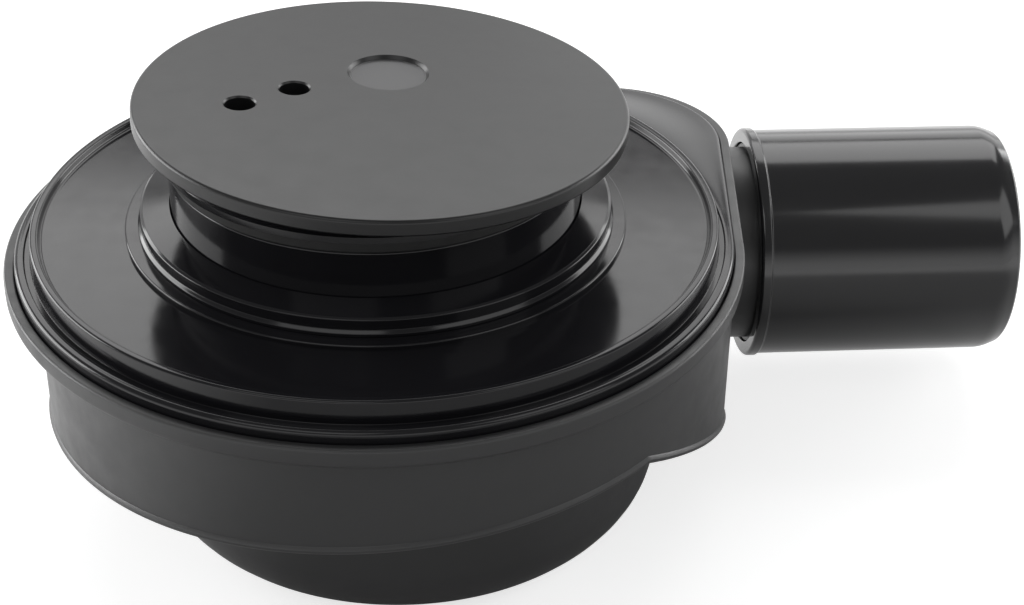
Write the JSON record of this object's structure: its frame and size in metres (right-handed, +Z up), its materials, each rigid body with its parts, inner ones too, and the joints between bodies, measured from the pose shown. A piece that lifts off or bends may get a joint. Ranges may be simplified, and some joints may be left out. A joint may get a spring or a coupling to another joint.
{
  "type": "shower trap",
  "caption": "Low black plastic shower trap: round cover over a bowl-shaped water seal, with a plain horizontal spigot outlet at one side.",
  "frame": {"origin": "on the axis of the neck and cover, in the plane of the flat foot under the cup", "axes": "+Z up along the neck, +X along the outlet pipe, away from the housing"},
  "size_m": [0.2353, 0.1626, 0.1],
  "materials": {
    "satin_black": "satin black moulding",
    "gloss_black": "polished black moulding",
    "cover_plastic": "fine satin black",
    "pipe_black": "extruded black pipe, semi-gloss",
    "insert_plastic": "dark grey moulding",
    "seal_rubber": "black sealing rubber",
    "clip_steel": "spring strip"
  },
  "bodies": {
    "housing": {"lower_housing": "satin_black", "upper_housing": "gloss_black", "housing_seal": "seal_rubber", "neck_washer": "gloss_black", "neck_nut": "gloss_black", "tray_gasket": "seal_rubber", "clamp_flange": "gloss_black", "flange_oring": "seal_rubber", "outlet_oring": "seal_rubber", "outlet_clip": "insert_plastic"},
    "insert": {"insert_body": "insert_plastic", "insert_oring": "seal_rubber", "pull_bar": "insert_plastic", "strainer": "insert_plastic", "dip_tube": "insert_plastic", "dip_oring": "seal_rubber"},
    "beaker": {"beaker": "insert_plastic"},
    "cover": {"cover_plate": "cover_plastic", "cover_legs": "insert_plastic", "cover_clips": "clip_steel"},
    "pipe": {"outlet_pipe": "pipe_black"}
  },
  "joints": [
    {"name": "insert_lift", "type": "slide", "parent": "housing", "child": "insert", "axis": [0, 0, 1], "range_m": [0, 0.088]},
    {"name": "cover_lift", "type": "slide", "parent": "insert", "child": "cover", "axis": [0, 0, 1], "range_m": [0, 0.03]},
    {"name": "beaker_turn", "type": "hinge", "parent": "insert", "child": "beaker", "pos_m": [0, 0, 0], "axis": [0, 0, 1], "range_deg": [0, 60]},
    {"name": "pipe_turn", "type": "hinge", "parent": "housing", "child": "pipe", "pos_m": [0.1, 0.043, 0.0355], "axis": [1, 0, 0], "continuous": true}
  ]
}
